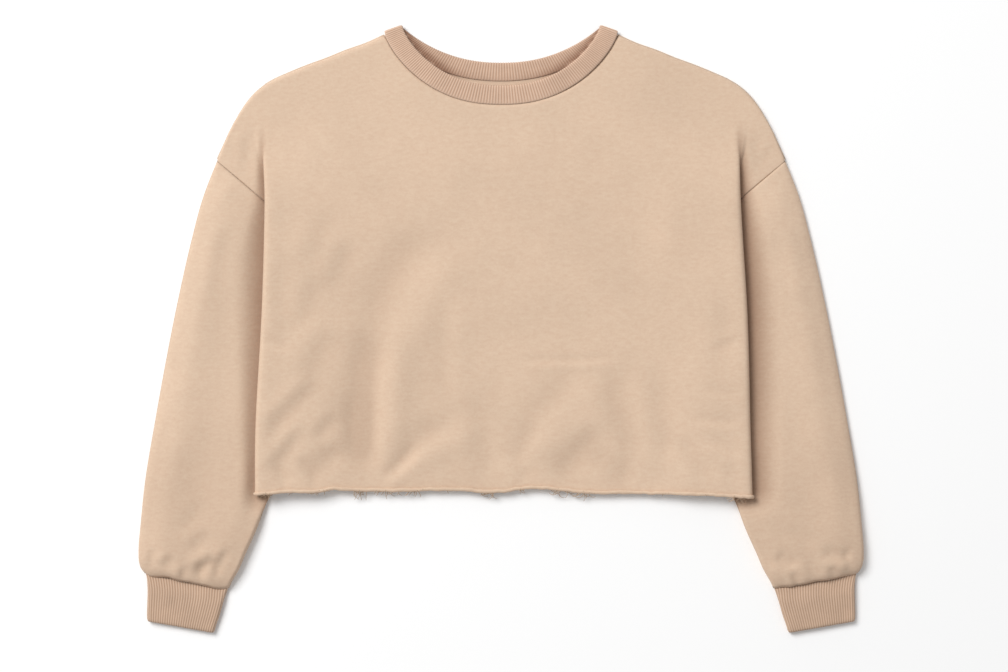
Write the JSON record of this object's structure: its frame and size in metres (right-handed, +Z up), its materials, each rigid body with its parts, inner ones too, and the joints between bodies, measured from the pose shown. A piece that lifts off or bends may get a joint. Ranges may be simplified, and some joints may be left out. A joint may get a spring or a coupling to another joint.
{
  "type": "cropped sweatshirt",
  "caption": "Cropped crew-neck sweatshirt in beige fleece, laid flat, with ribbed neckband and cuffs, dropped shoulders and a raw frayed hem.",
  "frame": {"origin": "centre of the bounding box on the surface that the garment lies on", "axes": "+X across the garment toward its right-hand side as seen from above, +Y from the hem toward the neck, +Z up out of the table, front of the garment up"},
  "size_m": [0.755, 0.6372, 0.0119],
  "materials": {
    "fleece": "matte brushed fleece, smooth knit face",
    "rib": "matte ribbed knit"
  },
  "bodies": {
    "root": {"front_panel": "fleece", "back_panel": "fleece", "sleeve_left": "fleece", "sleeve_right": "fleece", "neck_rib": "rib", "cuff_left": "rib", "cuff_right": "rib"}
  },
  "joints": []
}
